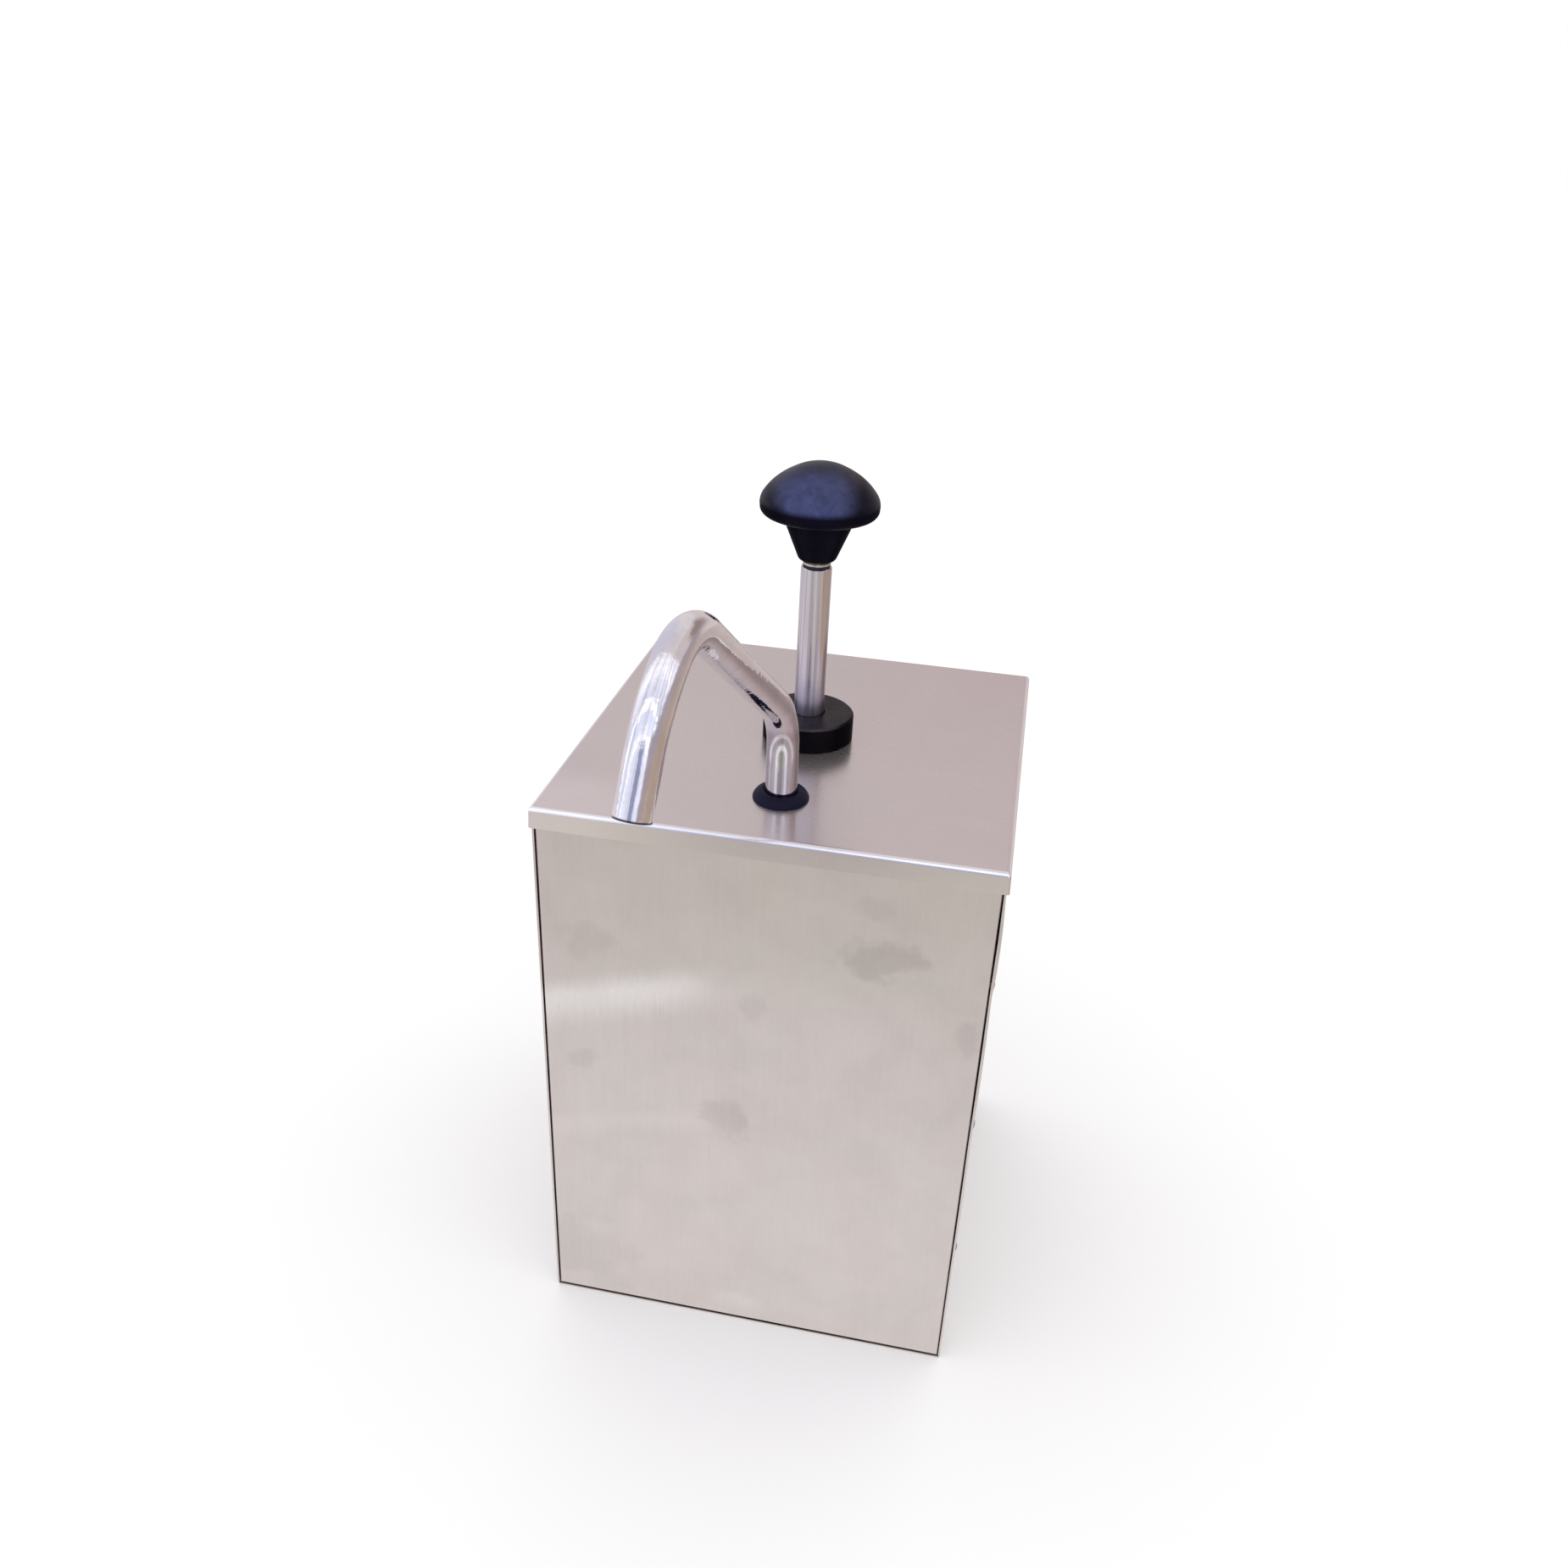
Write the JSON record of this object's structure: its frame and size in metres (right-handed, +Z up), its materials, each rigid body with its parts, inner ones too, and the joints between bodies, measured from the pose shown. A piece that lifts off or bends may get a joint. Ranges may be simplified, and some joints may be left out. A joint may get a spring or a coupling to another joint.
{
  "type": "condiment pump dispenser",
  "caption": "Square stainless countertop sauce dispenser with lift-off lid, push-knob plunger pump and swivelling gooseneck spout.",
  "frame": {"origin": "centre of the flat underside of the base plate", "axes": "+Z up; the front panel faces -Y; +X to the right seen from the front"},
  "size_m": [0.1848, 0.2736, 0.3799],
  "materials": {
    "brushed_steel_lid": "satin brushed stainless sheet",
    "brushed_steel_box": "fine brushed stainless sheet",
    "polished_steel": "mirror polished tube",
    "turned_steel": "turned and polished rod",
    "spring_steel": "drawn wire",
    "black_plastic": "moulded, fine grain",
    "white_plastic": "machined food-safe plastic",
    "black_rubber": "moulded rubber",
    "red_seal": "silicone seal",
    "brass": "turned insert"
  },
  "bodies": {
    "housing": {"housing_wrap": "brushed_steel_box", "front_panel": "brushed_steel_box", "base_pan": "brushed_steel_box", "shell_rivets": "turned_steel"},
    "pot": {"pot": "brushed_steel_box"},
    "lid_pump": {"lid": "brushed_steel_lid", "lid_gasket": "black_rubber", "spout_grommet": "black_rubber", "lock_collar": "black_plastic", "pump_head": "black_plastic", "head_gasket": "black_rubber", "rod_bush": "white_plastic", "rod_wiper_ring": "red_seal", "cylinder": "turned_steel", "cylinder_seal": "red_seal", "valve_body": "white_plastic", "valve_pins": "turned_steel", "inlet_seat": "white_plastic", "passage_plug": "turned_steel", "riser_tube": "turned_steel", "riser_nut": "turned_steel", "riser_seal": "red_seal", "swivel_socket": "turned_steel", "swivel_orings": "red_seal", "swivel_nut": "turned_steel"},
    "plunger": {"plunger_rod": "turned_steel", "rod_stop_ring": "turned_steel", "knob_stud": "turned_steel", "knob_spacer": "black_rubber", "knob_washer": "turned_steel", "knob_insert": "brass", "knob": "black_plastic", "piston": "white_plastic", "piston_seals": "red_seal", "piston_nut": "turned_steel", "return_spring": "spring_steel"},
    "spout": {"spout_tube": "polished_steel", "spout_retaining_ring": "turned_steel"},
    "inlet_ball": {"inlet_ball": "polished_steel"},
    "outlet_ball": {"outlet_ball": "polished_steel"}
  },
  "joints": [
    {"name": "pot_lift", "type": "slide", "parent": "housing", "child": "pot", "axis": [0, 0, 1], "range_m": [0, 0.25]},
    {"name": "lid_lift", "type": "slide", "parent": "pot", "child": "lid_pump", "axis": [0, 0, 1], "range_m": [0, 0.24]},
    {"name": "plunger_press", "type": "slide", "parent": "lid_pump", "child": "plunger", "axis": [0, 0, -1], "range_m": [0, 0.06], "stiffness_N_per_m": 180, "springref_m": -0.07, "deforming": ["return_spring"]},
    {"name": "spout_swivel", "type": "hinge", "parent": "lid_pump", "child": "spout", "pos_m": [0, -0.058, 0.2618], "axis": [0, 0, 1], "range_deg": [-78.4, 101.6]},
    {"name": "inlet_ball_lift", "type": "slide", "parent": "lid_pump", "child": "inlet_ball", "axis": [0, 0, 1], "range_m": [0, 0.003]},
    {"name": "outlet_ball_lift", "type": "slide", "parent": "lid_pump", "child": "outlet_ball", "axis": [0, 0, 1], "range_m": [0, 0.0032]}
  ]
}
